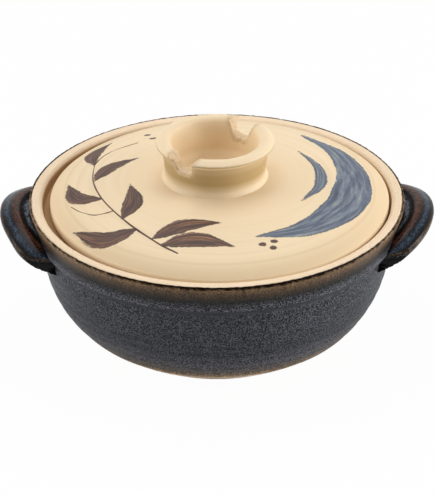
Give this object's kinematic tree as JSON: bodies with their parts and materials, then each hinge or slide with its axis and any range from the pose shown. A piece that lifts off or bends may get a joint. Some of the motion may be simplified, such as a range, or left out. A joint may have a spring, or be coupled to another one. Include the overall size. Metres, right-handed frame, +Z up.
{
  "type": "donabe clay pot",
  "caption": "Round stoneware donabe with a domed cream lid, a notched ring knob on top, a dark iron-blue glazed bowl and a lug handle on either side.",
  "frame": {"origin": "on the table under the centre of the pot", "axes": "+X through the right lug, +Z up, -Y towards the viewer of the picture"},
  "size_m": [0.3032, 0.2598, 0.1496],
  "materials": {
    "bare_clay": "matte",
    "iron_blue_glaze": "gloss",
    "pale_glaze": "gloss",
    "cream_clay": "matte"
  },
  "bodies": {
    "pot": {"pot_bowl": "bare_clay", "outer_glaze": "iron_blue_glaze", "inner_glaze": "pale_glaze", "left_ear": "iron_blue_glaze", "right_ear": "iron_blue_glaze"},
    "lid": {"lid_dome": "cream_clay", "knob_ring": "cream_clay"}
  },
  "joints": [
    {"name": "lid_lift", "type": "slide", "parent": "pot", "child": "lid", "axis": [0, 0, 1], "range_m": [0, 0.12]}
  ]
}
